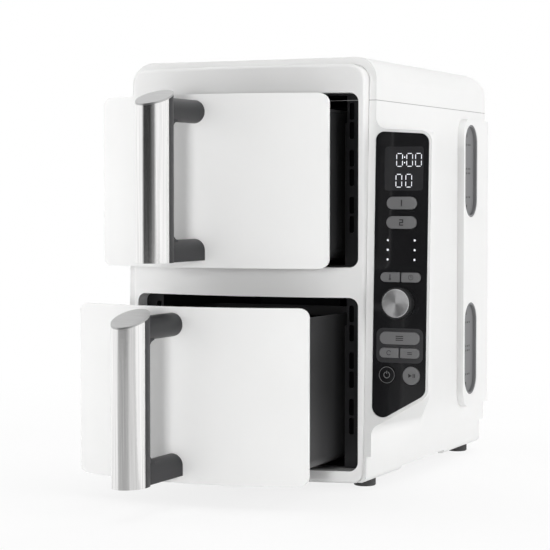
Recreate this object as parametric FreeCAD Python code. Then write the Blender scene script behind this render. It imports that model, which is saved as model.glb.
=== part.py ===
import FreeCAD, Part
import math
import os

from FreeCAD import Placement, Rotation, Vector

# Stacked two-drawer air fryer, in millimetres. While modelling, X = 0 is the drawers' middle,
# Y runs to the back and Z = 0 is the table. Each piece is moved to the part's own origin at the end.

# Driving dimensions of the casing
cover_half_width = 122.0
cover_wall = 2.5
casing_back = 322.0
base_bottom = 8.5
base_floor = 4.0
base_line = 34.5
base_ledge = 2.5
top_edge_radius = 20.0
top_back_radius = 26.0
base_edge_radius = 5.0
front_lean_deg = 2.03
front_foot_y = 5.0
trim_gap = 0.3
seat_gap = 0.3

# Driving dimensions of the bowed fascia and its two openings
cover_lip = 7.0
fascia_half_width = cover_half_width - cover_lip
base_half_width = fascia_half_width + trim_gap + cover_wall
fascia_bottom = 7.5
fascia_wall = 3.0
opening_wall = 2.0
fascia_back = 24.0
fascia_top_radius = 14.0
fascia_bottom_radius = 10.0
fascia_edge_radius = 3.0
fascia_bow = 15.5
fascia_edge_y = 5.0
opening_half_width = fascia_half_width - fascia_wall - opening_wall
opening_height = 154.0
opening_radius = 8.0
opening_back = 22.0
lower_opening_z = 18.2
upper_opening_z = 198.8
crown_height = 32.2
lid_height = 38.4
lid_over_fascia = 7.0
casing_height = upper_opening_z + opening_height + crown_height
cover_seam = casing_height - lid_height
fascia_top = casing_height - lid_over_fascia

# Driving dimensions of a cooking cavity and what stands behind it
mouth_border = 19.5
mouth_half_width = opening_half_width - mouth_border
mouth_lip = 2.0
cavity_half_width = mouth_half_width + mouth_lip
cavity_sheet = 1.0
cavity_floor_rise = 1.5
cavity_ceiling_drop = 1.5
cavity_back = 287.0
mouth_step_drop = 26.0
rail_x = 55.0
rail_width = 8.0
rail_height = 4.0
flange_overlap = 1.2
flange_slot_lowest = 46.4
flange_slot_width = 4.5
flange_slot_height = 15.0
flange_slot_inset = 6.5
flange_slot_x = mouth_half_width + flange_slot_inset
flange_slot_pitch = 17.0
flange_pair_pitch = 41.8
flange_pairs = 3
guard_y = 238.0
guard_sheet = 1.2
guard_slots = 12
guard_slot_inner = 26.0
guard_slot_outer = 62.0
guard_slot_width = 7.0
heater_y = 248.0
heater_ring_radius = 62.0
heater_tube_radius = 3.2
heater_leg_spread = 18.0
fan_front_y = 256.0
fan_depth = 20.0
fan_radius = 52.0
fan_hub_radius = 9.0
fan_blades = 9
fan_blade_thickness = 1.4
fan_disc_thickness = 1.6
shaft_radius = 3.0
shaft_clearance = 0.05
motor_radius = 30.0
motor_length = 29.0
motor_plate = 84.0
motor_plate_thickness = 2.0
deck_sheet = 1.5
deck_lip = 12.0
deck_front_gap = 1.0

# Driving dimensions of a drawer
panel_side_gap = 1.1
panel_half_width = opening_half_width - panel_side_gap
panel_top_gap = 3.4
panel_bottom_gap = 1.4
panel_height = opening_height - panel_bottom_gap - panel_top_gap
panel_bow = 24.0
panel_edge_y = 4.4
panel_wall = 3.0
panel_radius = 8.0
cup_side_inset = 14.9
cup_half_width = panel_half_width - cup_side_inset
cup_bottom_gap = 6.0
cup_top_gap = 7.2
cup_height = panel_height - cup_bottom_gap - cup_top_gap
cup_back = 16.0
cup_wall = 2.5
cup_radius = 10.0
basket_side_gap = 3.0
basket_half_width = mouth_half_width - basket_side_gap
basket_back = 230.0
basket_top_gap = 15.0
basket_height = opening_height - cavity_floor_rise - rail_height - seat_gap - basket_top_gap
basket_wall = 1.6
basket_corner_radius = 16.0
basket_floor_radius = 11.0
basket_lip = 2.0
basket_window_half_width = 62.0
basket_window_height = 42.0
basket_window_drop = 9.0
lug_length = 20.0
lug_width = 12.0
lug_rise = 16.0
lug_setback = 3.0
lug_height = 2.0
crisper_gap = 2.0
crisper_sheet = 2.2
crisper_rise = 13.0
crisper_radius = 13.0
crisper_columns = 5
crisper_rows = 7
crisper_slot_length = 20.0
crisper_slot_width = 6.0
pad_radius = 7.0
upper_pulled_out = 65.0
lower_pulled_out = 107.4

# Driving dimensions of a drawer handle
handle_x = -6.0
handle_half_width = 14.5
handle_half_depth = 20.0
handle_reach = 72.5
handle_bottom_gap = 6.5
handle_top_drop = 5.4
handle_cap_slope_deg = 18.0
handle_cap_thickness = 1.6
sleeve_sheet = 1.2
sleeve_back = -2.0
arm_radius = 10.0
arm_inset = 15.0
arm_start = 12.0
arm_web_radius = 10.0
arm_web_half_width = 6.0
screw_radius = 2.0
screw_length = 26.0
screw_head_radius = 4.0
screw_head_height = 2.4

# Driving dimensions of the control pod on the right cover, measured on its leaning front
pod_width = 52.5
pod_right = cover_half_width + pod_width
pod_wall = 2.5
pod_top_left = 322.0
pod_top_right = 319.0
pod_bottom_left = 57.0
pod_bottom_slope_deg = 30.0
pod_top_corner = 11.0
pod_bottom_corner = 12.0
pod_flare_radius = 10.0
pod_edge_depth = 5.0
pod_taper_end = 128.0
glass_recess = 0.4
glass_thickness = 3.0
glass_gap = 0.2
board_depth = 8.0
board_thickness = 1.6
carrier_setback = 2.0
carrier_side_gap = 1.0
board_setback = 0.5
switch_height = 1.1
switch_gap = 0.1
keeper_thickness = 1.0
carrier_width = 3.0
control_inset = 25.3
control_middle = cover_half_width + control_inset
display_width = 36.0
display_shift = 1.5
display_height = 38.5
display_middle = 286.2
display_radius = 2.5
light_radius = 0.9
light_spread = 25.1
light_top = 223.4
light_pitch = 8.5
dial_middle = 168.3
dial_radius = 13.8
dial_reach = 11.5
dial_gap = 0.6
dial_grooves = 36
dial_groove_radius = 0.5
encoder_side = 13.0
button_proud = 0.6
button_gap = 0.3
button_travel = 0.8
button_flange = 1.2
button_stem_radius = 2.5
switch_side = 6.0

# Each button: middle across and up the pod front, width, height, and radius at its left and right end
half_button_shift = 9.7
half_button_width = 18.0
round_button_shift = 11.3
buttons = {
    "button_zone_1": (control_middle, 256.0, 28.0, 10.8, 5.3, 5.3),
    "button_zone_2": (control_middle, 239.0, 28.0, 10.8, 5.3, 5.3),
    "button_temp": (control_middle - half_button_shift, 190.9, half_button_width, 8.4, 4.1, 0.8),
    "button_time": (control_middle + half_button_shift, 190.9, half_button_width, 8.4, 0.8, 4.1),
    "button_stack": (control_middle, 137.5, 37.4, 11.0, 5.2, 5.2),
    "button_sync": (control_middle - half_button_shift, 124.5, half_button_width, 8.8, 4.0, 0.8),
    "button_match": (control_middle + half_button_shift, 124.5, half_button_width, 8.8, 0.8, 4.0),
    "button_power": (control_middle - round_button_shift, 105.0, 15.4, 15.4, 7.6, 7.6),
    "button_start": (control_middle + round_button_shift, 105.0, 15.8, 15.8, 7.8, 7.8),
}

# Driving dimensions of the shroud round the back, its grilles, the feet and the electrics
shroud_proud = 6.5
shroud_half_width = cover_half_width + shroud_proud
shroud_front = 238.0
shroud_bottom = 52.0
shroud_top = 338.0
shroud_wall = 2.5
shroud_radius = 12.0
shroud_corner_radius = 15.0
grille_middle_y = 261.0
grille_width = 37.0
grille_height = 92.0
upper_grille_z = 286.7
lower_grille_z = 109.5
grille_sheet = 1.2
grille_recess = 3.0
grille_rim = 2.0
grille_drop = 0.4
grille_slot_width = 3.4
grille_slot_length = 7.0
grille_slot_spread = 37.0
grille_slot_shift = 5.5
grille_hole_radius = 1.0
grille_hole_pitch = 5.0
grille_rows = (-26.0, -2.2, 2.2, 26.0)
louvre_rows = 7
louvre_half_width = 62.0
louvre_height = 5.0
louvre_pitch = 11.0
foot_radius = 10.0
foot_boss_wall = 2.5
foot_inset = 22.0
foot_x = cover_half_width - foot_inset
front_foot_middle = 47.0
rear_foot_middle = 303.0
arch_front = 95.0
arch_back = 215.0
arch_rise = 4.0
arch_radius = 3.0
gland_radius = 9.0
gland_bore = 4.0
gland_x = 84.0
gland_z = 43.0
gland_reach = 4.0
power_board_y = (140.0, 225.0)
power_board_z = (62.0, 168.0)
power_board_standoff = 5.0
power_board_sheet = 1.6
power_board_edge = 6.0
power_post_radius = 3.0
power_block_height = 13.0
power_block_edge = 14.0
power_block_gap = 5.0
power_block_length = 38.0

# Sizes worked out from the driving dimensions
front_lean = math.tan(math.radians(front_lean_deg))
bow_apex_y = panel_edge_y - panel_bow
pod_frame = Placement(Vector(0, front_foot_y, 0), Rotation(Vector(1, 0, 0), -front_lean_deg))
basket_front = cup_back
glass_back = glass_recess + glass_thickness
lower_handle_front = bow_apex_y - handle_reach - handle_half_depth - lower_pulled_out
part_origin = Vector(
    (pod_right - shroud_half_width) / 2,
    (lower_handle_front + casing_back + shroud_wall) / 2,
    0,
)


def front_y(z):
    """Y of the covers' leaning front plane at a height."""
    return front_foot_y + z * front_lean


def rounded_face(corners, place):
    """Flat face through corners (u, v, radius), with tangent arcs at the corners."""
    bends = []
    for index, (u, v, radius) in enumerate(corners):
        here = Vector(u, v, 0)
        behind = Vector(*corners[index - 1][:2], 0) - here
        ahead = Vector(*corners[(index + 1) % len(corners)][:2], 0) - here
        behind.normalize()
        ahead.normalize()
        if radius <= 0:
            bends.append((here, here, here))
            continue
        half = behind.getAngle(ahead) / 2
        inward = (behind + ahead).normalize()
        middle = here + inward * (radius / math.sin(half) - radius)
        reach = radius / math.tan(half)
        bends.append((here + behind * reach, middle, here + ahead * reach))
    edges = []
    for index, (start, middle, end) in enumerate(bends):
        if (end - start).Length > 1e-6:
            edges.append(Part.Arc(place(start), place(middle), place(end)).toShape())
        following = bends[(index + 1) % len(bends)][0]
        if (following - end).Length > 1e-6:
            edges.append(Part.makeLine(place(end), place(following)))
    return Part.Face(Part.Wire(edges))


def prism_x(corners, x0, x1):
    """Outline in (y, z), extruded along X."""
    face = rounded_face(corners, lambda p: Vector(x0, p.x, p.y))
    return face.extrude(Vector(x1 - x0, 0, 0))


def prism_y(corners, y0, y1):
    """Outline in (x, z), extruded along Y."""
    face = rounded_face(corners, lambda p: Vector(p.x, y0, p.y))
    return face.extrude(Vector(0, y1 - y0, 0))


def prism_z(corners, z0, z1):
    """Outline in (x, y), extruded along Z."""
    face = rounded_face(corners, lambda p: Vector(p.x, p.y, z0))
    return face.extrude(Vector(0, 0, z1 - z0))


def rectangle(u0, u1, v0, v1, radius=0.0):
    """Corners of a rectangle with one corner radius."""
    return [(u0, v0, radius), (u1, v0, radius), (u1, v1, radius), (u0, v1, radius)]


def slab(x0, x1, y0, y1, z0, z1):
    """Plain block between two corners."""
    return Part.makeBox(x1 - x0, y1 - y0, z1 - z0, Vector(x0, y0, z0))


def rod_y(x, z, radius, y0, y1):
    """Round bar along Y."""
    return Part.makeCylinder(radius, y1 - y0, Vector(x, y0, z), Vector(0, 1, 0))


def rod_z(x, y, radius, z0, z1):
    """Round bar along Z."""
    return Part.makeCylinder(radius, z1 - z0, Vector(x, y, z0))


def joined(shapes):
    """One solid from touching or crossing shapes."""
    return shapes[0].fuse(shapes[1:]).removeSplitter()


def rounded(shape, radius, wanted):
    """Fillet on the edges that a test picks by their middle point."""
    edges = [e for e in shape.Edges if wanted(e.CenterOfMass)]
    return shape.makeFillet(radius, edges)


def bow_radius(half_width, bow):
    """Radius of an arc with this half chord and this rise."""
    return (half_width * half_width + bow * bow) / (2 * bow)


def bowed(corners, half_width, bow, edge_y, back, inset=0.0):
    """Block with a cylindrical front, whose outline is seen from the front."""
    radius = bow_radius(half_width, bow)
    axis_y = edge_y - bow + radius
    lowest = min(c[1] for c in corners) - 1
    highest = max(c[1] for c in corners) + 1
    drum = rod_z(0, axis_y, radius - inset, lowest, highest)
    return prism_y(corners, edge_y - bow - 1, back).common(drum)


def fascia_outline(inset):
    """Front view of the fascia, drawn in by an inset."""
    half = fascia_half_width - inset
    low = fascia_bottom + inset
    high = fascia_top - inset
    return [
        (-half, low, fascia_bottom_radius - inset),
        (half, low, fascia_bottom_radius - inset),
        (half, high, fascia_top_radius - inset),
        (-half, high, fascia_top_radius - inset),
    ]


def opening_outline(opening_z, grow):
    """Front view of a drawer opening, grown by a margin."""
    half = opening_half_width + grow
    return rectangle(
        -half, half, opening_z - grow, opening_z + opening_height + grow, opening_radius + grow
    )


def make_fascia():
    """Bowed front frame with a deep reveal round each drawer opening."""
    bow = (opening_half_width, fascia_bow, fascia_edge_y)
    block = bowed(fascia_outline(0), *bow, fascia_back)
    block = rounded(block, fascia_edge_radius, lambda p: p.y < fascia_edge_y + 5)
    hollow = bowed(fascia_outline(fascia_wall), *bow, fascia_back + 1, fascia_wall)
    shell = block.cut(hollow)
    outer = fascia_outline(0)
    for opening_z in (lower_opening_z, upper_opening_z):
        reveal = bowed(opening_outline(opening_z, opening_wall), *bow, opening_back, fascia_wall / 2)
        reveal = reveal.common(prism_y(outer, -fascia_half_width, fascia_back))
        shell = shell.fuse(reveal)
    for opening_z in (lower_opening_z, upper_opening_z):
        mouth = prism_y(opening_outline(opening_z, 0), -fascia_half_width, fascia_back + 1)
        shell = shell.cut(mouth)
    return shell.removeSplitter()


def side_outline(low, high, inset, back_radius=0.0):
    """Side view of the covers between two heights, with the leaning front."""
    return [
        (front_y(low) + inset, low, 0),
        (casing_back - inset, low, 0),
        (casing_back - inset, high, back_radius),
        (front_y(high) + inset, high, 0),
    ]


def fascia_clearance():
    """Room that the covers and the base leave round the fascia."""
    grown = fascia_outline(-trim_gap)
    return prism_y(grown, -fascia_half_width, fascia_back + trim_gap)


def make_top_cover():
    """Moulded lid with rounded shoulders and a rounded back edge."""
    crown = [
        (-cover_half_width, cover_seam, 0),
        (cover_half_width, cover_seam, 0),
        (cover_half_width, casing_height, top_edge_radius),
        (-cover_half_width, casing_height, top_edge_radius),
    ]
    inner_half = cover_half_width - cover_wall
    inner_top = casing_height - cover_wall
    inner_crown = [
        (-inner_half, cover_seam - 1, 0),
        (inner_half, cover_seam - 1, 0),
        (inner_half, inner_top, top_edge_radius - cover_wall),
        (-inner_half, inner_top, top_edge_radius - cover_wall),
    ]
    profile = side_outline(cover_seam, casing_height, 0, top_back_radius)
    inner_profile = side_outline(
        cover_seam - 1, inner_top, cover_wall, top_back_radius - cover_wall
    )
    lid = prism_y(crown, 0, casing_back).common(
        prism_x(profile, -cover_half_width, cover_half_width)
    )
    hollow = prism_y(inner_crown, 0, casing_back).common(
        prism_x(inner_profile, -cover_half_width, cover_half_width)
    )
    return lid.cut(hollow).cut(fascia_clearance())


def grille_window(middle_z, grow):
    """Obround outline of a side grille in (y, z), grown by a margin."""
    half = grille_width / 2 + grow
    tall = grille_height / 2 + grow
    return rectangle(
        grille_middle_y - half,
        grille_middle_y + half,
        middle_z - tall,
        middle_z + tall,
        half - 0.5,
    )


def make_side_cover():
    """Right-hand side plate with a front lip, a back return and two air windows."""
    lip = fascia_half_width + trim_gap
    inner = cover_half_width - cover_wall
    plate = prism_x(side_outline(base_line, cover_seam, 0), lip, cover_half_width)
    hollow = prism_x(side_outline(base_line - 1, cover_seam + 1, cover_wall), lip - 1, inner)
    cover = plate.cut(hollow).cut(fascia_clearance())
    for middle_z in (upper_grille_z, lower_grille_z):
        window = prism_x(grille_window(middle_z, -3), inner - 1, cover_half_width + 1)
        cover = cover.cut(window)
    return cover


def pod_outline(inset, left):
    """Front outline of the control pod, drawn in by an inset, from a left edge."""
    slope = math.tan(math.radians(pod_bottom_slope_deg))
    lift = inset / math.cos(math.radians(pod_bottom_slope_deg))
    right = pod_right - inset
    low_right = pod_bottom_left + (right - cover_half_width) * slope + lift
    low_left = pod_bottom_left + lift
    return [
        (left, low_left, pod_flare_radius),
        (right, low_right, pod_bottom_corner - inset),
        (right, pod_top_right - inset, pod_top_corner - inset),
        (left, pod_top_left - inset, pod_flare_radius - inset),
    ]


def pod_wedge(inset):
    """Plan of the pod, which runs back and fades into the side cover."""
    run = pod_taper_end - pod_edge_depth
    rise = pod_right - cover_half_width
    steep = run / rise
    set_back = inset * math.hypot(1, steep)
    left = cover_half_width - 2 * cover_wall
    right = pod_right + 0.5
    near = pod_edge_depth - 0.5 * steep - set_back
    far = pod_edge_depth + (pod_right - left) * steep - set_back
    plan = [(left, -1, 0), (right, -1, 0), (right, near, 0), (left, far, 0)]
    return prism_z(plan, base_line, cover_seam)


def make_right_cover(plain_cover):
    """Right side cover with the hollow control pod moulded on."""
    inner = cover_half_width - cover_wall
    high_left, low_left = pod_top_left, pod_bottom_left
    outer = pod_outline(0, cover_half_width)
    flared = [
        (inner, low_left - pod_flare_radius - trim_gap, 0),
        (cover_half_width, low_left - pod_flare_radius - trim_gap, 0),
        *outer,
        (cover_half_width, high_left + pod_flare_radius + trim_gap, 0),
        (inner, high_left + pod_flare_radius + trim_gap, 0),
    ]
    body = prism_y(flared, 0, casing_back).common(pod_wedge(0))
    room = prism_y(pod_outline(pod_wall, cover_half_width), -1, casing_back).common(
        pod_wedge(pod_wall)
    )
    body.Placement = pod_frame
    room.Placement = pod_frame
    return plain_cover.fuse(body).removeSplitter().cut(room)


def make_rear_cover():
    """Back plate between the side covers, with two air windows and the cord opening."""
    half = fascia_half_width + trim_gap
    plate = slab(-half, half, casing_back - cover_wall, casing_back, base_line, cover_seam)
    for middle_z in (upper_grille_z, lower_grille_z):
        tall = louvre_rows * louvre_pitch / 2
        window = rectangle(
            -louvre_half_width, louvre_half_width, middle_z - tall, middle_z + tall, 5
        )
        plate = plate.cut(prism_y(window, casing_back - cover_wall - 1, casing_back + 1))
    return plate.cut(rod_y(gland_x, gland_z, gland_radius - 2, 0, casing_back + 1))


def make_shroud():
    """Shell round the back, proud of the side covers, with grille openings and louvres."""
    back = casing_back + shroud_wall
    plan = [
        (-shroud_half_width, shroud_front, 0),
        (shroud_half_width, shroud_front, 0),
        (shroud_half_width, back, shroud_radius),
        (-shroud_half_width, back, shroud_radius),
    ]
    side = [
        (shroud_front, shroud_bottom, shroud_corner_radius),
        (back, shroud_bottom, 0),
        (back, shroud_top, 0),
        (shroud_front, shroud_top, shroud_corner_radius),
    ]
    inner_side = [
        (shroud_front + shroud_wall, shroud_bottom + shroud_wall, shroud_corner_radius - shroud_wall),
        (casing_back, shroud_bottom + shroud_wall, 0),
        (casing_back, shroud_top - shroud_wall, 0),
        (shroud_front + shroud_wall, shroud_top - shroud_wall, shroud_corner_radius - shroud_wall),
    ]
    inner_half = shroud_half_width - shroud_wall
    inner_plan = [
        (-inner_half, shroud_front, 0),
        (inner_half, shroud_front, 0),
        (inner_half, casing_back, shroud_radius - shroud_wall),
        (-inner_half, casing_back, shroud_radius - shroud_wall),
    ]
    block = prism_z(plan, shroud_bottom, shroud_top)
    block = block.common(prism_x(side, -shroud_half_width, shroud_half_width))
    hollow = prism_z(inner_plan, shroud_bottom, shroud_top)
    hollow = hollow.common(prism_x(inner_side, -shroud_half_width, shroud_half_width))
    casing = slab(
        -cover_half_width, cover_half_width, 0, casing_back, shroud_bottom - 1, shroud_top + 1
    )
    shell = block.cut(hollow).cut(casing)
    for middle_z in (upper_grille_z, lower_grille_z):
        window = prism_x(grille_window(middle_z, 0), -shroud_half_width - 1, shroud_half_width + 1)
        shell = shell.cut(window)
        for row in range(louvre_rows):
            z = middle_z + (row - (louvre_rows - 1) / 2) * louvre_pitch
            slot = rectangle(
                -louvre_half_width,
                louvre_half_width,
                z - louvre_height / 2,
                z + louvre_height / 2,
                louvre_height / 2 - 0.2,
            )
            shell = shell.cut(prism_y(slot, casing_back - 1, back + 1))
    return shell


def make_grilles():
    """Cup-shaped grille inserts in the shroud's side openings, two on each side."""
    plates = []
    rim_x = shroud_half_width - grille_drop
    x1 = rim_x - grille_recess
    x0 = x1 - grille_sheet
    for middle_z in (upper_grille_z, lower_grille_z):
        cup = prism_x(grille_window(middle_z, 0), cover_half_width, rim_x)
        cup = cup.cut(prism_x(grille_window(middle_z, -grille_rim), x1, rim_x + 1))
        cup = cup.cut(prism_x(grille_window(middle_z, -grille_rim), cover_half_width - 1, x0))
        for column in (-1, 0, 1):
            y = grille_middle_y + column * grille_hole_pitch
            for row in grille_rows:
                start = Vector(x0 - 1, y, middle_z + row)
                hole = Part.makeCylinder(
                    grille_hole_radius, grille_sheet + 2, start, Vector(1, 0, 0)
                )
                cup = cup.cut(hole)
        for side in (-1, 1):
            y = grille_middle_y - grille_slot_shift
            z = middle_z + side * grille_slot_spread
            slot = rectangle(
                y - grille_slot_width / 2,
                y + grille_slot_width / 2,
                z - grille_slot_length / 2,
                z + grille_slot_length / 2,
                grille_slot_width / 2 - 0.05,
            )
            cup = cup.cut(prism_x(slot, x0 - 1, x1 + 1))
        plates.append(cup)
        plates.append(cup.mirror(Vector(0, 0, 0), Vector(1, 0, 0)))
    return Part.makeCompound(plates)


def make_base():
    """Base tray, set in under a ledge for the covers, with foot bosses and an arch under each side."""
    inner = base_half_width - cover_wall
    floor = lower_opening_z + cavity_floor_rise - cavity_sheet
    tray = prism_x(side_outline(base_bottom, base_line, 0), -base_half_width, base_half_width)
    tray = rounded(
        tray, base_edge_radius, lambda p: abs(p.x) > inner and p.z < base_bottom + 0.1
    )
    ledge = side_outline(base_line - base_ledge, base_line, 0)
    tray = tray.fuse(prism_x(ledge, -cover_half_width, cover_half_width)).removeSplitter()
    front = front_y(base_line) + cover_wall
    back = casing_back - cover_wall
    room = slab(-inner, inner, front, back, floor, base_line + 1)
    under = slab(
        -inner + base_edge_radius, inner - base_edge_radius, front, back, base_bottom - 1, floor - base_floor
    )
    for x, y in foot_places():
        under = under.cut(rod_z(x, y, foot_radius + foot_boss_wall, base_bottom - 1, floor))
    tray = tray.cut(room).cut(under).cut(fascia_clearance())
    arch = rectangle(
        arch_front, arch_back, base_bottom - arch_rise, base_bottom + arch_rise, arch_radius
    )
    return tray.cut(prism_x(arch, -cover_half_width - 1, cover_half_width + 1))


def foot_places():
    """Middles of the four feet."""
    return [(s * foot_x, y) for s in (-1, 1) for y in (front_foot_middle, rear_foot_middle)]


def make_feet():
    """Round rubber feet with a softened lower edge."""
    feet = []
    for x, y in foot_places():
        foot = rod_z(x, y, foot_radius, 0, base_bottom)
        feet.append(rounded(foot, 1.5, lambda p: p.z < 0.1))
    return Part.makeCompound(feet)


def make_deck():
    """Steel shelf between the side covers that carries the upper cavity."""
    inner = cover_half_width - cover_wall
    top = upper_opening_z + cavity_floor_rise - cavity_sheet
    shelf = slab(-inner, inner, fascia_back + deck_front_gap, cavity_back, top - deck_sheet, top)
    lips = [
        slab(s * inner - (s > 0) * deck_sheet, s * inner + (s < 0) * deck_sheet,
             fascia_back + deck_front_gap, cavity_back, top - deck_sheet - deck_lip, top)
        for s in (-1, 1)
    ]
    return joined([shelf, *lips])


def cavity_box(opening_z, grow, y0, y1):
    """Block of the cavity's inside, grown by a margin."""
    half = cavity_half_width + grow
    low = opening_z + cavity_floor_rise - grow
    high = opening_z + opening_height - cavity_ceiling_drop + grow
    return slab(-half, half, y0, y1, low, high)


def fan_height(opening_z):
    """Height of the fan axis of a cavity."""
    return opening_z + (opening_height + cavity_floor_rise - cavity_ceiling_drop) / 2


def make_cavity(opening_z):
    """Folded steel oven box with a slotted front flange, a stepped mouth and basket rails."""
    flange_back = opening_back + cavity_sheet
    flange = prism_y(opening_outline(opening_z, flange_overlap), opening_back, flange_back)
    tube = cavity_box(opening_z, cavity_sheet, opening_back, cavity_back + cavity_sheet)
    shell = joined([tube, flange])
    shell = shell.cut(cavity_box(opening_z, 0, flange_back, cavity_back))
    floor = opening_z + cavity_floor_rise
    ceiling = opening_z + opening_height - cavity_ceiling_drop
    step_z = opening_z + opening_height - mouth_step_drop
    shell = shell.cut(
        slab(-mouth_half_width, mouth_half_width, 0, flange_back + 1, floor, ceiling)
    )
    shell = shell.cut(
        slab(-cavity_half_width, cavity_half_width, 0, flange_back + 1, step_z, ceiling)
    )
    rails = []
    for side in (-1, 1):
        x = side * rail_x
        rails.append(
            slab(x - rail_width / 2, x + rail_width / 2, opening_back, guard_y, floor, floor + rail_height)
        )
    shell = joined([shell, *rails])
    for side in (-1, 1):
        for pair in range(flange_pairs):
            for slot in (-0.5, 0.5):
                z = opening_z + flange_slot_lowest + pair * flange_pair_pitch + slot * flange_slot_pitch
                x = side * flange_slot_x
                outline = rectangle(
                    x - flange_slot_width / 2,
                    x + flange_slot_width / 2,
                    z - flange_slot_height / 2,
                    z + flange_slot_height / 2,
                    1.5,
                )
                shell = shell.cut(prism_y(outline, opening_back - 1, flange_back + 1))
    hole = rod_y(0, fan_height(opening_z), 2 * shaft_radius, cavity_back - 1, cavity_back + 2)
    return shell.cut(hole)


def make_guard(opening_z):
    """Pierced plate in front of the heater, with a wheel of slots."""
    plate = cavity_box(opening_z, 0, guard_y, guard_y + guard_sheet)
    axis_z = fan_height(opening_z)
    slot = rectangle(
        guard_slot_inner,
        guard_slot_outer,
        -guard_slot_width / 2,
        guard_slot_width / 2,
        guard_slot_width / 2 - 0.1,
    )
    for index in range(guard_slots):
        cutter = prism_y(slot, guard_y - 1, guard_y + guard_sheet + 1)
        cutter.rotate(Vector(0, 0, 0), Vector(0, 1, 0), index * 360 / guard_slots)
        cutter.translate(Vector(0, 0, axis_z))
        plate = plate.cut(cutter)
    return plate


def make_heater(opening_z):
    """Ring of sheathed heating tube with two legs through to the back wall."""
    axis_z = fan_height(opening_z)
    ring = Part.makeTorus(
        heater_ring_radius, heater_tube_radius, Vector(0, heater_y, axis_z), Vector(0, 1, 0)
    )
    rise = math.sqrt(heater_ring_radius**2 - heater_leg_spread**2)
    legs = [
        rod_y(s * heater_leg_spread, axis_z + rise, heater_tube_radius - 0.1, heater_y, cavity_back)
        for s in (-1, 1)
    ]
    return joined([ring, *legs])


def make_fan(opening_z):
    """Radial fan: hub, back disc, straight blades and the shaft that carries it."""
    axis_z = fan_height(opening_z)
    back = fan_front_y + fan_depth
    pieces = [
        rod_y(0, 0, fan_hub_radius, fan_front_y, back),
        rod_y(0, 0, fan_radius, back - fan_disc_thickness, back),
        rod_y(0, 0, shaft_radius, fan_front_y - 3, cavity_back + cavity_sheet + motor_length - 3),
    ]
    for index in range(fan_blades):
        blade = slab(
            fan_hub_radius - 2,
            fan_radius - 1,
            fan_front_y + 2,
            back - fan_disc_thickness,
            -fan_blade_thickness / 2,
            fan_blade_thickness / 2,
        )
        blade.rotate(Vector(0, 0, 0), Vector(0, 1, 0), index * 360 / fan_blades)
        pieces.append(blade)
    fan = joined(pieces)
    fan.translate(Vector(0, 0, axis_z))
    return fan


def make_motor(opening_z):
    """Fan motor: a mounting plate, the can and its end boss, with a bearing bore."""
    axis_z = fan_height(opening_z)
    front = cavity_back + cavity_sheet
    half = motor_plate / 2
    plate = prism_y(
        rectangle(-half, half, axis_z - half, axis_z + half, 8),
        front,
        front + motor_plate_thickness,
    )
    can = rod_y(0, axis_z, motor_radius, front, front + motor_length - 5)
    can = rounded(can, 3, lambda p: p.y > front + motor_length - 6)
    boss = rod_y(0, axis_z, 3 * shaft_radius, front, front + motor_length)
    bore = rod_y(0, axis_z, shaft_radius + shaft_clearance, front - 1, front + motor_length - 2)
    return joined([plate, can, boss]).cut(bore)


def make_power_board():
    """Mains board on standoffs inside the right cover."""
    back_x = cover_half_width - cover_wall
    face_x = back_x - power_board_standoff
    (y0, y1), (z0, z1) = power_board_y, power_board_z
    board = slab(face_x - power_board_sheet, face_x, y0, y1, z0, z1)
    pieces = [board]
    for y in (y0 + power_board_edge, y1 - power_board_edge):
        for z in (z0 + power_board_edge, z1 - power_board_edge):
            start = Vector(face_x, y, z)
            post = Part.makeCylinder(power_post_radius, power_board_standoff, start, Vector(1, 0, 0))
            pieces.append(post)
    outer_x = face_x - power_board_sheet
    tall_x = outer_x - power_block_height
    middle_y = (y0 + y1) / 2
    first_z = z0 + power_block_edge
    last_z = z1 - power_block_edge
    near_y = y0 + power_block_edge
    far_y = y1 - power_block_edge
    pieces.append(
        slab(tall_x, outer_x, near_y, middle_y - power_block_gap, first_z, first_z + power_block_length)
    )
    pieces.append(
        slab(tall_x, outer_x, middle_y + power_block_gap, far_y, last_z - power_block_length, last_z)
    )
    return joined(pieces)


def make_gland():
    """Flanged cord inlet in the back plate."""
    front = casing_back - cover_wall - 3
    barrel = rod_y(gland_x, gland_z, gland_radius - 2, front, casing_back)
    flange = rod_y(gland_x, gland_z, gland_radius, casing_back, casing_back + gland_reach)
    flange = rounded(flange, 1.5, lambda p: p.y > casing_back + gland_reach - 0.1)
    bore = rod_y(gland_x, gland_z, gland_bore, front - 1, casing_back + gland_reach + 1)
    return joined([barrel, flange]).cut(bore)


def cover_screw_places():
    """Middles of the four screws in the shroud's back."""
    x = shroud_half_width - shroud_radius - 8
    return [(s * x, z) for s in (-1, 1) for z in (shroud_bottom + 14, shroud_top - 14)]


def make_cover_screws():
    """Pan-head screws on the shroud's back."""
    back = casing_back + shroud_wall
    screws = []
    for x, z in cover_screw_places():
        head = rod_y(x, z, screw_head_radius, back, back + screw_head_height)
        screws.append(rounded(head, 1.0, lambda p: p.y > back + screw_head_height - 0.1))
    return Part.makeCompound(screws)


def panel_outline(panel_z, inset):
    """Front view of a drawer panel, drawn in by an inset."""
    half = panel_half_width - inset
    return rectangle(
        -half, half, panel_z + inset, panel_z + panel_height - inset, panel_radius - inset
    )


def arm_heights(panel_z):
    """Heights of the two handle arms on a panel."""
    return (panel_z + arm_inset, panel_z + panel_height - arm_inset)


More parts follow.
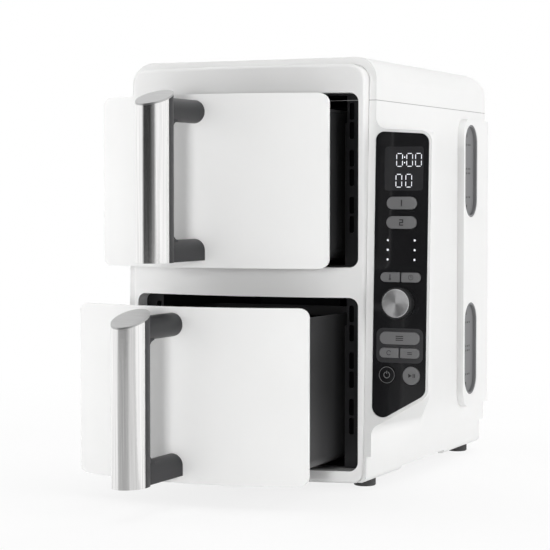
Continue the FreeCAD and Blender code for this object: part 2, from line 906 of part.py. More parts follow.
def make_panel(panel_z):
    """Bowed drawer front plate with the two screw holes of the handle."""
    bow = (panel_half_width, panel_bow, panel_edge_y)
    deep = panel_edge_y + 2 * panel_wall
    block = bowed(panel_outline(panel_z, 0), *bow, deep)
    hollow = bowed(panel_outline(panel_z, -2), *bow, deep + 1, panel_wall)
    plate = block.cut(hollow)
    for z in arm_heights(panel_z):
        plate = plate.cut(rod_y(handle_x, z, screw_radius + 0.2, bow_apex_y - 1, panel_edge_y))
    return plate


def cup_outline(panel_z, inset):
    """Front view of the cup behind a drawer panel, drawn in by an inset."""
    half = cup_half_width - inset
    low = panel_z + cup_bottom_gap + inset
    high = panel_z + cup_bottom_gap + cup_height - inset
    return rectangle(-half, half, low, high, cup_radius - inset)


def make_liner(panel_z):
    """Dark cup between a drawer panel and its basket, open towards the panel."""
    bow = (panel_half_width, panel_bow, panel_edge_y)
    block = bowed(cup_outline(panel_z, 0), *bow, cup_back, panel_wall)
    return block.cut(prism_y(cup_outline(panel_z, cup_wall), bow_apex_y - 1, cup_back - cup_wall))


def basket_plan(inset, back_lip=0.0):
    """Plan of a basket, drawn in by an inset."""
    half = basket_half_width - inset
    return rectangle(
        -half,
        half,
        basket_front + max(inset, 0),
        basket_back - inset + back_lip,
        basket_corner_radius - inset,
    )


def basket_floor(opening_z):
    """Underside of a basket, which rides just above the cavity's rails."""
    return opening_z + cavity_floor_rise + rail_height + seat_gap


def make_basket(opening_z):
    """Deep-drawn basket with a turned rim, side lugs and an air window at the back."""
    low = basket_floor(opening_z)
    high = low + basket_height
    body = prism_z(basket_plan(0), low, high)
    body = rounded(body, basket_floor_radius, lambda p: p.z < low + 0.1)
    rim = prism_z(basket_plan(-basket_lip), high - basket_wall, high)
    lugs = []
    lug_y = basket_front + basket_corner_radius + lug_setback
    lug_z = low + lug_rise
    lug_outline = rectangle(
        lug_y, lug_y + lug_length, lug_z, lug_z + lug_width, lug_width / 2 - 0.1
    )
    inner_x = basket_half_width - basket_wall / 2
    outer_x = basket_half_width + lug_height
    for side in (-1, 1):
        lugs.append(prism_x(lug_outline, side * inner_x, side * outer_x))
    solid = joined([body, rim, *lugs])
    room = prism_z(basket_plan(basket_wall), low + basket_wall, high + 1)
    room = rounded(room, basket_floor_radius - basket_wall, lambda p: p.z < low + basket_wall + 0.1)
    window_top = high - basket_window_drop
    window = rectangle(
        -basket_window_half_width,
        basket_window_half_width,
        window_top - basket_window_height,
        window_top,
        8,
    )
    window = prism_y(window, basket_back - 2 * basket_wall, basket_back + 1)
    return solid.cut(room).cut(window)


def crisper_bounds():
    """Half width, front and back of a crisper plate."""
    edge = basket_wall + crisper_gap
    return basket_half_width - edge, basket_front + edge, basket_back - edge


def make_crisper(opening_z):
    """Pierced plate that lies in a basket, with rows of slots and a finger hole."""
    half, front, back = crisper_bounds()
    low = basket_floor(opening_z) + basket_wall + crisper_rise
    plate = prism_z(rectangle(-half, half, front, back, crisper_radius), low, low + crisper_sheet)
    column_pitch = 2 * half / (crisper_columns + 0.4)
    row_pitch = (back - front) / (crisper_rows + 0.8)
    middle_y = (front + back) / 2
    for column in range(crisper_columns):
        for row in range(crisper_rows):
            x = (column - (crisper_columns - 1) / 2) * column_pitch
            y = middle_y + (row - (crisper_rows - 1) / 2) * row_pitch
            slot = rectangle(
                x - crisper_slot_length / 2,
                x + crisper_slot_length / 2,
                y - crisper_slot_width / 2,
                y + crisper_slot_width / 2,
                crisper_slot_width / 2 - 0.1,
            )
            plate = plate.cut(prism_z(slot, low - 1, low + crisper_sheet + 1))
    return plate


def make_crisper_pads(opening_z):
    """Rubber pads that carry a crisper plate on the basket floor."""
    half, front, back = crisper_bounds()
    low = basket_floor(opening_z) + basket_wall
    inset = 2 * pad_radius
    return Part.makeCompound(
        [
            rod_z(s * (half - inset), y, pad_radius, low, low + crisper_rise)
            for s in (-1, 1)
            for y in (front + inset, back - inset)
        ]
    )


def handle_middle_y():
    """Y of the grip's middle with the drawer shut."""
    return bow_apex_y - handle_reach


def grip(inset, low, high):
    """Oval bar of the grip, drawn in by an inset."""
    oval = Part.Ellipse(
        Vector(handle_x, handle_middle_y() + handle_half_depth - inset, low),
        Vector(handle_x + handle_half_width - inset, handle_middle_y(), low),
        Vector(handle_x, handle_middle_y(), low),
    )
    return Part.Face(Part.Wire([oval.toShape()])).extrude(Vector(0, 0, high - low))


def above_cap_plane(panel_z, lower_by):
    """Space above the grip's sloping top, lowered by a thickness."""
    top = panel_z + panel_height - handle_top_drop - lower_by
    reach = 4 * handle_half_depth
    block = slab(-reach, reach, -reach, reach, 0, reach)
    block.rotate(Vector(0, 0, 0), Vector(1, 0, 0), handle_cap_slope_deg)
    block.translate(Vector(handle_x, handle_middle_y(), top))
    return block


def make_arm_webs(panel_z):
    """Hollow-curved webs in the corners between the grip and its arms."""
    low_arm, high_arm = arm_heights(panel_z)
    near = handle_middle_y() + arm_start
    far = handle_middle_y() + handle_half_depth + arm_web_radius
    webs = []
    for axis_z, side in ((low_arm, 1), (high_arm, -1)):
        edge = axis_z + side * (arm_radius + arm_web_radius)
        left = handle_x - arm_web_half_width
        right = handle_x + arm_web_half_width
        block = slab(left, right, near, far, min(axis_z, edge), max(axis_z, edge))
        curve = Part.makeCylinder(
            arm_web_radius, right - left, Vector(left, far, edge), Vector(1, 0, 0)
        )
        webs.append(block.cut(curve))
    return webs


def make_handle(panel_z):
    """Grip core with two arms, the steel sleeve round its front and the sloping end cap."""
    low = panel_z + handle_bottom_gap
    high = panel_z + panel_height + handle_half_depth
    split = handle_middle_y() + sleeve_back
    far = 4 * handle_half_depth
    front_half = slab(-far, far, split - far, split, low - 1, high + 1)
    back_half = slab(-far, far, split, split + far, low - 1, high + 1)
    whole = grip(0, low, high)
    under_cap = whole.cut(above_cap_plane(panel_z, handle_cap_thickness))
    cap = whole.cut(above_cap_plane(panel_z, 0)).common(
        above_cap_plane(panel_z, handle_cap_thickness)
    )
    inner = grip(sleeve_sheet, low - 1, high + 1)
    sleeve = under_cap.common(front_half).cut(inner)
    spine = under_cap.common(joined([inner.common(front_half), back_half]))
    bow = (panel_half_width, panel_bow, panel_edge_y)
    panel_block = bowed(panel_outline(panel_z, 0), *bow, panel_edge_y)
    core = spine
    for z in arm_heights(panel_z):
        arm = rod_y(handle_x, z, arm_radius, handle_middle_y() + arm_start, bow_apex_y + 4)
        if z < panel_z + panel_height / 2:
            left, right = handle_x - arm_radius, handle_x + arm_radius
            skirt = slab(left, right, handle_middle_y() + arm_start, bow_apex_y + 4, low, z)
            arm = arm.fuse(skirt)
        arm = arm.cut(slab(-far, far, -4 * far, far, low - 2 * arm_radius, low))
        core = core.fuse(arm)
    core = core.fuse(make_arm_webs(panel_z))
    core = core.removeSplitter().cut(panel_block)
    for z in arm_heights(panel_z):
        core = core.cut(rod_y(handle_x, z, screw_radius, bow_apex_y - screw_length, bow_apex_y + 1))
    return core, sleeve, cap


def make_handle_screws(panel_z):
    """Screws from inside the panel into the handle's arms."""
    seat = bow_apex_y + panel_wall
    screws = []
    for z in arm_heights(panel_z):
        shank = rod_y(handle_x, z, screw_radius, seat - screw_length, seat + 0.5)
        head = rod_y(handle_x, z, screw_head_radius, seat + 0.2, seat + 0.2 + screw_head_height)
        screws.append(joined([shank, head]))
    return Part.makeCompound(screws)


def drawer_nodes(name, opening_z, pulled_out):
    """All pieces of one drawer, at the place where the photograph shows it."""
    panel_z = opening_z + panel_bottom_gap
    core, sleeve, cap = make_handle(panel_z)
    pieces = {
        "front_panel": make_panel(panel_z),
        "panel_liner": make_liner(panel_z),
        "basket": make_basket(opening_z),
        "crisper_plate": make_crisper(opening_z),
        "crisper_pads": make_crisper_pads(opening_z),
        "handle_core": core,
        "handle_sleeve": sleeve,
        "handle_cap": cap,
        "handle_screws": make_handle_screws(panel_z),
    }
    for piece in pieces.values():
        piece.translate(Vector(0, -pulled_out, 0))
    return {f"{name}_{key}": piece for key, piece in pieces.items()}


def button_outline(button, grow_across, grow_up):
    """Front outline of a button, grown across and up, with a radius for each end."""
    x, z, width, height, left_radius, right_radius = button
    half = width / 2 + grow_across
    tall = height / 2 + grow_up
    return [
        (x - half, z - tall, left_radius),
        (x + half, z - tall, right_radius),
        (x + half, z + tall, right_radius),
        (x - half, z + tall, left_radius),
    ]


def display_outline(inset):
    """Front outline of the display, drawn in by an inset."""
    middle = control_middle + display_shift
    half = display_width / 2 - inset
    tall = display_height / 2 - inset
    return rectangle(
        middle - half,
        middle + half,
        display_middle - tall,
        display_middle + tall,
        display_radius,
    )


def light_places():
    """Middles of the mode lights: two columns of three."""
    return [
        (control_middle + s * light_spread / 2, light_top - row * light_pitch)
        for s in (-1, 1)
        for row in range(3)
    ]


def glass_outline(inset):
    """Outline of the control glass, which fills the pod's mouth."""
    left = cover_half_width + glass_gap + inset
    return pod_outline(pod_wall + glass_gap + inset, left)


def make_glass():
    """Black front plate with a hole for each control."""
    glass = prism_y(glass_outline(0), glass_recess, glass_back)
    holes = [prism_y(display_outline(0), -1, glass_back + 1)]
    holes += [
        prism_y(button_outline(button, button_gap, button_gap), -1, glass_back + 1)
        for button in buttons.values()
    ]
    holes += [rod_y(x, z, light_radius, -1, glass_back + 1) for x, z in light_places()]
    holes.append(rod_y(control_middle, dial_middle, 2 * shaft_radius, -1, glass_back + 1))
    return glass.cut(holes)


def make_button(button):
    """Button cap with a keeper flange behind the glass and a plunger."""
    x, z = button[:2]
    flange_front = glass_back + seat_gap
    plunger_end = board_depth - switch_height - button_travel - switch_gap
    cap = prism_y(button_outline(button, 0, 0), -button_proud, flange_front)
    cap = rounded(cap, 0.5, lambda p: p.y < -button_proud + 0.01)
    flange = prism_y(button_outline(button, 0, button_flange), flange_front, flange_front + keeper_thickness)
    stem = rod_y(x, z, button_stem_radius, flange_front, plunger_end)
    return joined([cap, flange, stem])


def make_carrier():
    """Frame behind the glass that holds the board."""
    rear_left = cover_half_width + glass_gap + carrier_side_gap
    edge = pod_wall + glass_gap + carrier_setback
    outer = pod_outline(edge, rear_left)
    inner = pod_outline(edge + carrier_width, rear_left + carrier_width)
    return prism_y(outer, glass_back, board_depth).cut(prism_y(inner, 0, board_depth + 1))


def make_board():
    """Control board with a switch behind each button."""
    edge = pod_wall + glass_gap + carrier_setback + board_setback
    outline = pod_outline(edge, cover_half_width + glass_gap + carrier_side_gap + board_setback)
    pieces = [prism_y(outline, board_depth, board_depth + board_thickness)]
    half = switch_side / 2
    for x, z, *_ in buttons.values():
        pieces.append(slab(x - half, x + half, board_depth - switch_height, board_depth, z - half, z + half))
    return joined(pieces)


def make_dial():
    """Turned knob with a grooved skirt, a dished face and its shaft."""
    knob = rod_y(0, 0, dial_radius, -dial_reach, -dial_gap)
    knob = rounded(knob, 1.2, lambda p: p.y < -dial_reach + 0.1)
    for index in range(dial_grooves):
        angle = 2 * math.pi * index / dial_grooves
        groove = rod_y(
            dial_radius * math.cos(angle),
            dial_radius * math.sin(angle),
            dial_groove_radius,
            -dial_reach + 2.5,
            0,
        )
        knob = knob.cut(groove)
    shaft = rod_y(0, 0, shaft_radius, -dial_reach + 3, board_depth - 1)
    dial = joined([knob, shaft])
    dial.translate(Vector(control_middle, 0, dial_middle))
    return dial


def make_encoder():
    """Rotary encoder on the board, with the dial's bearing bore."""
    half = encoder_side / 2
    front = glass_back + seat_gap
    body = slab(
        control_middle - half,
        control_middle + half,
        front,
        board_depth,
        dial_middle - half,
        dial_middle + half,
    )
    bore = rod_y(control_middle, dial_middle, shaft_radius + shaft_clearance, front - 1, board_depth - 0.5)
    return body.cut(bore)


def control_nodes():
    """All pieces of the control pod, set on its leaning front."""
    nodes = {
        "control_glass": make_glass(),
        "control_carrier": make_carrier(),
        "control_board": make_board(),
        "display_lens": prism_y(display_outline(0), glass_recess, glass_back),
        "display_module": prism_y(display_outline(2), glass_back, board_depth),
        "mode_lights": Part.makeCompound(
            [rod_y(x, z, light_radius, glass_recess, glass_back) for x, z in light_places()]
        ),
        "dial": make_dial(),
        "dial_encoder": make_encoder(),
    }
    for name, button in buttons.items():
        nodes[name] = make_button(button)
    for shape in nodes.values():
        shape.Placement = pod_frame.multiply(shape.Placement)
    return nodes


def housing_nodes():
    """Casing, cavities and what they carry."""
    plain_cover = make_side_cover()
    nodes = {
        "front_fascia": make_fascia(),
        "left_cover": plain_cover.mirror(Vector(0, 0, 0), Vector(1, 0, 0)),
        "right_cover": make_right_cover(plain_cover),
        "top_cover": make_top_cover(),
        "rear_cover": make_rear_cover(),
        "rear_shroud": make_shroud(),
        "side_grilles": make_grilles(),
        "base_tray": make_base(),
        "rubber_feet": make_feet(),
        "mid_deck": make_deck(),
        "power_board": make_power_board(),
        "cord_gland": make_gland(),
        "cover_screws": make_cover_screws(),
    }
    for name, opening_z in (("upper", upper_opening_z), ("lower", lower_opening_z)):
        nodes[f"{name}_cavity"] = make_cavity(opening_z)
        nodes[f"{name}_air_guard"] = make_guard(opening_z)
        nodes[f"{name}_heater"] = make_heater(opening_z)
        nodes[f"{name}_fan"] = make_fan(opening_z)
        nodes[f"{name}_motor"] = make_motor(opening_z)
    return nodes


os.makedirs("parts", exist_ok=True)
parts = {
    **housing_nodes(),
    **control_nodes(),
    **drawer_nodes("upper", upper_opening_z, upper_pulled_out),
    **drawer_nodes("lower", lower_opening_z, lower_pulled_out),
}
for node, shape in parts.items():
    placed = shape.copy()
    placed.translate(part_origin.negative())
    placed.exportStep(f"parts/{node}.step")
    print(node, len(placed.Solids), placed.isValid(), round(placed.Volume))
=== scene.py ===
import math

import bmesh
import bpy
from mathutils import Matrix, Vector


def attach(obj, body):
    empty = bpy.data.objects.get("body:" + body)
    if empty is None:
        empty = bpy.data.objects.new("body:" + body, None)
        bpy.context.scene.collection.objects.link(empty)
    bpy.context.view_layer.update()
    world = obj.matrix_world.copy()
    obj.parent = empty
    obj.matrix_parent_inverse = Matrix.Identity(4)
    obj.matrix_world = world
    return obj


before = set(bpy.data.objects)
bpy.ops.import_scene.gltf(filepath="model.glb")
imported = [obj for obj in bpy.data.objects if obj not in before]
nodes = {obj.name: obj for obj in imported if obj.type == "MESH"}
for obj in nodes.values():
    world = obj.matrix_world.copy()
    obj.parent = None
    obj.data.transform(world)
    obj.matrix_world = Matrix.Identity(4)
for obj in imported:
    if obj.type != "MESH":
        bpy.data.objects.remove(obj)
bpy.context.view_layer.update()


# Casing: lid, side covers, fascia, base tray, back plate and shroud are injection-moulded in one
# white plastic with a satin gloss, and clip and screw together over the steel inside.
def moulded_finish(name, colour, roughness, grain, bump, spread=0.03):
    """Moulded plastic: a faint cloud in the colour and a fine moulded skin."""
    finish = bpy.data.materials.new(name)
    finish.use_nodes = True
    tree = finish.node_tree
    shader = tree.nodes["Principled BSDF"]
    place = tree.nodes.new("ShaderNodeTexCoord")
    cloud = tree.nodes.new("ShaderNodeTexNoise")
    cloud.inputs["Scale"].default_value = 14
    cloud.inputs["Detail"].default_value = 3
    tint = tree.nodes.new("ShaderNodeValToRGB")
    tint.color_ramp.elements[0].position = 0.3
    tint.color_ramp.elements[1].position = 0.7
    tint.color_ramp.elements[0].color = [c * (1 - spread) for c in colour] + [1]
    tint.color_ramp.elements[1].color = [min(1, c * (1 + spread)) for c in colour] + [1]
    skin = tree.nodes.new("ShaderNodeTexNoise")
    skin.inputs["Scale"].default_value = grain
    skin.inputs["Detail"].default_value = 2
    relief = tree.nodes.new("ShaderNodeBump")
    relief.inputs["Strength"].default_value = bump
    relief.inputs["Distance"].default_value = 0.0003
    shine = tree.nodes.new("ShaderNodeMapRange")
    shine.inputs["To Min"].default_value = roughness * 0.88
    shine.inputs["To Max"].default_value = roughness * 1.12
    tree.links.new(place.outputs["Object"], cloud.inputs["Vector"])
    tree.links.new(place.outputs["Object"], skin.inputs["Vector"])
    tree.links.new(cloud.outputs["Fac"], tint.inputs["Fac"])
    tree.links.new(cloud.outputs["Fac"], shine.inputs["Value"])
    tree.links.new(tint.outputs["Color"], shader.inputs["Base Color"])
    tree.links.new(shine.outputs["Result"], shader.inputs["Roughness"])
    tree.links.new(skin.outputs["Fac"], relief.inputs["Height"])
    tree.links.new(relief.outputs["Normal"], shader.inputs["Normal"])
    return finish


def dress(finish, *names):
    """Puts one finish on CAD nodes."""
    for name in names:
        nodes[name].data.materials.clear()
        nodes[name].data.materials.append(finish)


white_shell = moulded_finish("white_shell", (0.83, 0.83, 0.825), 0.34, 900, 0.04, 0.012)
dress(
    white_shell, "front_fascia", "left_cover", "right_cover", "top_cover", "rear_cover",
    "rear_shroud", "base_tray",
)


# Lid seam line: painted shade, a thin grey strip set in the seam between the lid and the covers below
# it that stands for the seam's shadow and is seen as a fine line round the casing.
def finished_piece(mesh, name, finish):
    """Turns a mesh into an object with one finish."""
    data = bpy.data.meshes.new(name)
    mesh.to_mesh(data)
    mesh.free()
    piece = bpy.data.objects.new(name, data)
    bpy.context.scene.collection.objects.link(piece)
    data.materials.append(finish)
    return piece


seam_shade_low, seam_shade_high = Vector((-0.14505, -0.03525, 0.34635)), Vector((0.09905, 0.26955, 0.34685))
seam_shade_wall = 0.0003
# Painted shade: a grey finish for the seam's shadow line.
painted_seam_shade = moulded_finish("painted_seam_shade", (0.3, 0.3, 0.3), 0.6, 500, 0.05, 0.05)
seam_shade_mesh = bmesh.new()
bmesh.ops.create_cube(seam_shade_mesh, size=1)
bmesh.ops.scale(seam_shade_mesh, verts=seam_shade_mesh.verts, vec=seam_shade_high - seam_shade_low)
bmesh.ops.translate(seam_shade_mesh, verts=seam_shade_mesh.verts, vec=(seam_shade_high + seam_shade_low) / 2)
level_faces = [f for f in seam_shade_mesh.faces if abs(f.normal.z) > 0.5]
bmesh.ops.delete(seam_shade_mesh, geom=level_faces, context="FACES_ONLY")
bmesh.ops.recalc_face_normals(seam_shade_mesh, faces=seam_shade_mesh.faces)
bmesh.ops.solidify(seam_shade_mesh, geom=seam_shade_mesh.faces[:], thickness=seam_shade_wall)
lid_seam_shade = finished_piece(seam_shade_mesh, "lid_seam_shade", painted_seam_shade)
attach(lid_seam_shade, "housing")

# Drawer fronts: bowed white panels, moulded with a brighter gloss than the casing, each on a dark
# plastic cup that carries the basket.
white_panel = moulded_finish("white_panel", (0.86, 0.86, 0.855), 0.24, 700, 0.025, 0.01)
dress(white_panel, "upper_front_panel", "lower_front_panel")
cup_plastic = moulded_finish("cup_plastic", (0.03, 0.03, 0.032), 0.45, 1200, 0.15, 0.12)
dress(
    cup_plastic, "upper_panel_liner", "lower_panel_liner", "cord_gland", "control_carrier",
    "display_module",
)

# Handles: dark plastic cores with round arms, screwed on from inside the panel. The front of each
# grip is wrapped in brushed steel sheet, closed by a sloping steel cap.
grip_plastic = moulded_finish("grip_plastic", (0.02, 0.02, 0.022), 0.42, 1100, 0.12, 0.12)
grip_plastic.node_tree.nodes["Principled BSDF"].inputs["Specular IOR Level"].default_value = 0.3
dress(grip_plastic, "upper_handle_core", "lower_handle_core")


def brushed_finish(name, colour, roughness, stretch):
    """Brushed metal: fine streaks drawn out along one direction."""
    finish = bpy.data.materials.new(name)
    finish.use_nodes = True
    tree = finish.node_tree
    shader = tree.nodes["Principled BSDF"]
    shader.inputs["Metallic"].default_value = 1.0
    place = tree.nodes.new("ShaderNodeTexCoord")
    draw = tree.nodes.new("ShaderNodeMapping")
    draw.inputs["Scale"].default_value = stretch
    streak = tree.nodes.new("ShaderNodeTexNoise")
    streak.inputs["Scale"].default_value = 1
    streak.inputs["Detail"].default_value = 4
    tint = tree.nodes.new("ShaderNodeValToRGB")
    tint.color_ramp.elements[0].position = 0.25
    tint.color_ramp.elements[1].position = 0.75
    tint.color_ramp.elements[0].color = [c * 0.86 for c in colour] + [1]
    tint.color_ramp.elements[1].color = [min(1, c * 1.1) for c in colour] + [1]
    shine = tree.nodes.new("ShaderNodeMapRange")
    shine.inputs["To Min"].default_value = roughness * 0.8
    shine.inputs["To Max"].default_value = roughness * 1.2
    relief = tree.nodes.new("ShaderNodeBump")
    relief.inputs["Strength"].default_value = 0.12
    relief.inputs["Distance"].default_value = 0.0002
    tree.links.new(place.outputs["Object"], draw.inputs["Vector"])
    tree.links.new(draw.outputs["Vector"], streak.inputs["Vector"])
    tree.links.new(streak.outputs["Fac"], tint.inputs["Fac"])
    tree.links.new(streak.outputs["Fac"], shine.inputs["Value"])
    tree.links.new(streak.outputs["Fac"], relief.inputs["Height"])
    tree.links.new(tint.outputs["Color"], shader.inputs["Base Color"])
    tree.links.new(shine.outputs["Result"], shader.inputs["Roughness"])
    tree.links.new(relief.outputs["Normal"], shader.inputs["Normal"])
    return finish


grip_steel = brushed_finish("grip_steel", (0.9, 0.895, 0.89), 0.15, (900, 900, 12))
cap_steel = brushed_finish("cap_steel", (0.5, 0.5, 0.5), 0.34, (60, 1400, 1400))
dress(grip_steel, "upper_handle_sleeve", "lower_handle_sleeve")
dress(cap_steel, "upper_handle_cap", "lower_handle_cap")

# Baskets and crisper plates: drawn steel with a dark grey non-stick coat, finely speckled. Each
# crisper plate stands on rubber pads, and the fryer on feet of the same rubber.
coat = moulded_finish("basket_coat", (0.03, 0.03, 0.031), 0.42, 1500, 0.2, 0.18)
dress(coat, "upper_basket", "lower_basket", "upper_crisper_plate", "lower_crisper_plate")
pad_rubber = moulded_finish("pad_rubber", (0.05, 0.05, 0.05), 0.75, 800, 0.2, 0.1)
dress(pad_rubber, "upper_crisper_pads", "lower_crisper_pads", "rubber_feet")

# Oven boxes: folded steel with a dark baked coat, hung in the casing one above the other, each with
# a pierced plate before its heater ring.
oven_coat = moulded_finish("oven_coat", (0.014, 0.014, 0.015), 0.4, 1000, 0.15, 0.15)
oven_coat.node_tree.nodes["Principled BSDF"].inputs["Specular IOR Level"].default_value = 0.3
dress(oven_coat, "upper_cavity", "lower_cavity", "upper_air_guard", "lower_air_guard")

# Inner works: steel shelf, screws, heaters, pressed fans, coated motors and resin boards, screwed to
# the shelf and the ovens and out of sight in use.
plain_steel = brushed_finish("plain_steel", (0.5, 0.5, 0.5), 0.4, (40, 40, 600))
dress(
    plain_steel, "mid_deck", "cover_screws", "upper_handle_screws", "lower_handle_screws",
    "dial_encoder", "upper_heater", "lower_heater",
)
fan_sheet = brushed_finish("fan_sheet", (0.6, 0.6, 0.6), 0.35, (300, 40, 300))
dress(fan_sheet, "upper_fan", "lower_fan")
motor_coat = moulded_finish("motor_coat", (0.2, 0.2, 0.21), 0.5, 900, 0.1, 0.06)
dress(motor_coat, "upper_motor", "lower_motor")
board_resin = moulded_finish("board_resin", (0.05, 0.16, 0.08), 0.45, 600, 0.08, 0.15)
dress(board_resin, "power_board", "control_board")

# Side grilles: grey moulded plates with small air holes, set back in the shroud. Thin black discs and
# slot plugs laid over the holes are painted shade for the dark inside of each opening.
grille_grey = moulded_finish("grille_grey", (0.2, 0.2, 0.205), 0.5, 1000, 0.12, 0.05)
grille_grey.node_tree.nodes["Principled BSDF"].inputs["Specular IOR Level"].default_value = 0.2
dress(grille_grey, "side_grilles")
window_middles = (0.2867, 0.1095)
hole_rows = (-0.026, -0.0022, 0.0022, 0.026)
hole_middle_y, hole_pitch, hole_radius = 0.2085, 0.005, 0.001
slot_y, slot_reach, slot_width, slot_height = 0.203, 0.037, 0.0033, 0.0066
casing_middle_x, hole_shade_reach, hole_shade_depth = -0.023, 0.12495, 0.0004
# Painted shade: flat black for the dark inside of the holes and end slots.
painted_hole_shade = moulded_finish("painted_hole_shade", (0.012, 0.012, 0.012), 0.8, 1500, 0.2, 0.2)
hole_shade_spots = [
    (hole_middle_y + hole_pitch * column, middle_z + row)
    for middle_z in window_middles for row in hole_rows for column in (-1, 0, 1)
]
hole_shade_mesh = bmesh.new()
for side in (-1, 1):
    hole_shade_x = side * hole_shade_reach + casing_middle_x
    for spot_y, spot_z in hole_shade_spots:
        disc = bmesh.ops.create_cone(
            hole_shade_mesh, cap_ends=True, cap_tris=False, segments=12, radius1=hole_radius,
            radius2=hole_radius, depth=hole_shade_depth,
        )["verts"]
        bmesh.ops.rotate(hole_shade_mesh, verts=disc, matrix=Matrix.Rotation(math.radians(90), 3, "Y"))
        bmesh.ops.translate(hole_shade_mesh, verts=disc, vec=(hole_shade_x, spot_y, spot_z))
    for middle_z in window_middles:
        for end in (-1, 1):
            plug = bmesh.ops.create_cube(hole_shade_mesh, size=1)["verts"]
            bmesh.ops.scale(hole_shade_mesh, verts=plug, vec=(hole_shade_depth, slot_width, slot_height))
            bmesh.ops.translate(hole_shade_mesh, verts=plug, vec=(hole_shade_x, slot_y, middle_z + end * slot_reach))
bmesh.ops.recalc_face_normals(hole_shade_mesh, faces=hole_shade_mesh.faces)
grille_hole_shade = finished_piece(hole_shade_mesh, "grille_hole_shade", painted_hole_shade)
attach(grille_hole_shade, "housing")

# Control glass: a polished black plate that fills the pod's leaning front, with a smoked display
# window and six lit points. Marks are printed on it in millimetres across and up the front.
glass_black = moulded_finish("glass_black", (0.012, 0.012, 0.013), 0.09, 60, 0.005, 0.2)
dress(glass_black, "control_glass")
window_smoke = moulded_finish("window_smoke", (0.03, 0.03, 0.032), 0.12, 60, 0.005, 0.15)
dress(window_smoke, "display_lens")
pod_stand, pod_lean = (-0.023, -0.0475, 0), math.radians(-2.03)
pod_front = Matrix.Translation(pod_stand) @ Matrix.Rotation(pod_lean, 4, "X")


def lit_finish(name, colour, strength):
    """Lit mark: a bright face whose glow is a little uneven, as behind a light guide."""
    finish = bpy.data.materials.new(name)
    finish.use_nodes = True
    tree = finish.node_tree
    shader = tree.nodes["Principled BSDF"]
    shader.inputs["Roughness"].default_value = 0.4
    shader.inputs["Emission Strength"].default_value = strength
    place = tree.nodes.new("ShaderNodeTexCoord")
    cloud = tree.nodes.new("ShaderNodeTexNoise")
    cloud.inputs["Scale"].default_value = 160
    tint = tree.nodes.new("ShaderNodeValToRGB")
    tint.color_ramp.elements[0].color = [c * 0.9 for c in colour] + [1]
    tint.color_ramp.elements[1].color = [*colour, 1]
    tree.links.new(place.outputs["Object"], cloud.inputs["Vector"])
    tree.links.new(cloud.outputs["Fac"], tint.inputs["Fac"])
    tree.links.new(tint.outputs["Color"], shader.inputs["Base Color"])
    tree.links.new(tint.outputs["Color"], shader.inputs["Emission Color"])
    return finish


lit_white = lit_finish("lit_white", (0.86, 0.87, 0.92), 0.6)
dress(lit_white, "mode_lights")


print_depth = 0.1


def flat_bar(mesh, x, z, width, height):
    """Adds a thin printed bar to a mesh."""
    bar = bmesh.ops.create_cube(mesh, size=1)["verts"]
    bmesh.ops.scale(mesh, verts=bar, vec=(width / 1000, print_depth / 1000, height / 1000))
    bmesh.ops.translate(mesh, verts=bar, vec=(x / 1000, 0, z / 1000))
    return bar


def on_pod(mesh, name, finish, body, lift):
    """Finishes a mesh as a piece that lies on the pod's front and rides on a body."""
    bmesh.ops.translate(mesh, verts=mesh.verts, vec=(0, lift / 1000, 0))
    bmesh.ops.transform(mesh, matrix=pod_front, verts=mesh.verts)
    bmesh.ops.recalc_face_normals(mesh, faces=mesh.faces)
    piece = finished_piece(mesh, name, finish)
    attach(piece, body)


# Display digits: lit seven-segment numerals behind the window, a time above and a count below,
# printed as a thin light mask on the lens.
def numeral(mesh, digit, x, z, width, height, stroke, gap):
    """Adds one seven-segment numeral about a middle point."""
    lit = {"0": "abcdef", "1": "bc", "2": "abged"}[digit]
    half = height / 4
    places = {
        "a": (0, height / 2, True), "g": (0, 0, True), "d": (0, -height / 2, True),
        "b": (width / 2, half, False), "c": (width / 2, -half, False),
        "f": (-width / 2, half, False), "e": (-width / 2, -half, False),
    }
    for key in lit:
        dx, dz, level = places[key]
        long = (width if level else height / 2) - gap
        flat_bar(mesh, x + dx, z + dz, long if level else stroke, stroke if level else long)


time_z, count_z = 293.8, 275.6
colon_x, colon_heights = 149.3, (291.4, 296.2)
digit_shape = {"width": 5.4, "height": 11.2, "stroke": 0.62, "gap": 1.6}
digits = bmesh.new()
for place_x in (144.6, 154.0, 162.2):
    numeral(digits, "0", place_x, time_z, **digit_shape)
for dot_z in colon_heights:
    flat_bar(digits, colon_x, dot_z, 0.9, 1.2)
for place_x in (144.2, 153.4):
    numeral(digits, "0", place_x, count_z, **digit_shape)
on_pod(digits, "display_digits", lit_white, "housing", 0.36)

# Buttons: satin grey caps in the glass, each with a dark printed mark, and a black one with a pale
# mark. The marks are plain figures: numerals, a thermometer, a clock, bars, an open ring, a power
# ring and a start sign.
button_cap = moulded_finish("button_cap", (0.175, 0.175, 0.178), 0.4, 900, 0.06, 0.06)
dress(button_cap, *[name for name in nodes if name.startswith("button_")])
dress(glass_black, "button_power")
mark_print = lit_finish("mark_print", (0.012, 0.012, 0.012), 0.0)
mark_pale = lit_finish("mark_pale", (0.2, 0.2, 0.2), 0.05)
mark_lift = -0.62


def ring_mark(mesh, x, z, radius, stroke, start=0.0, sweep=360.0):
    """Adds a flat ring, or part of one, spun from a small bar."""
    bar = flat_bar(mesh, x + radius, z, stroke, 0.02)
    faces = [f for f in mesh.faces if all(v in bar for v in f.verts)]
    top = [f for f in faces if f.calc_center_median().z > z / 1000 + 0.000005]
    bmesh.ops.rotate(
        mesh, verts=bar, cent=(x / 1000, 0, z / 1000),
        matrix=Matrix.Rotation(math.radians(-start), 3, "Y"),
    )
    bmesh.ops.spin(
        mesh, geom=top, cent=(x / 1000, 0, z / 1000), axis=(0, -1, 0),
        angle=math.radians(sweep - 1), steps=28,
    )


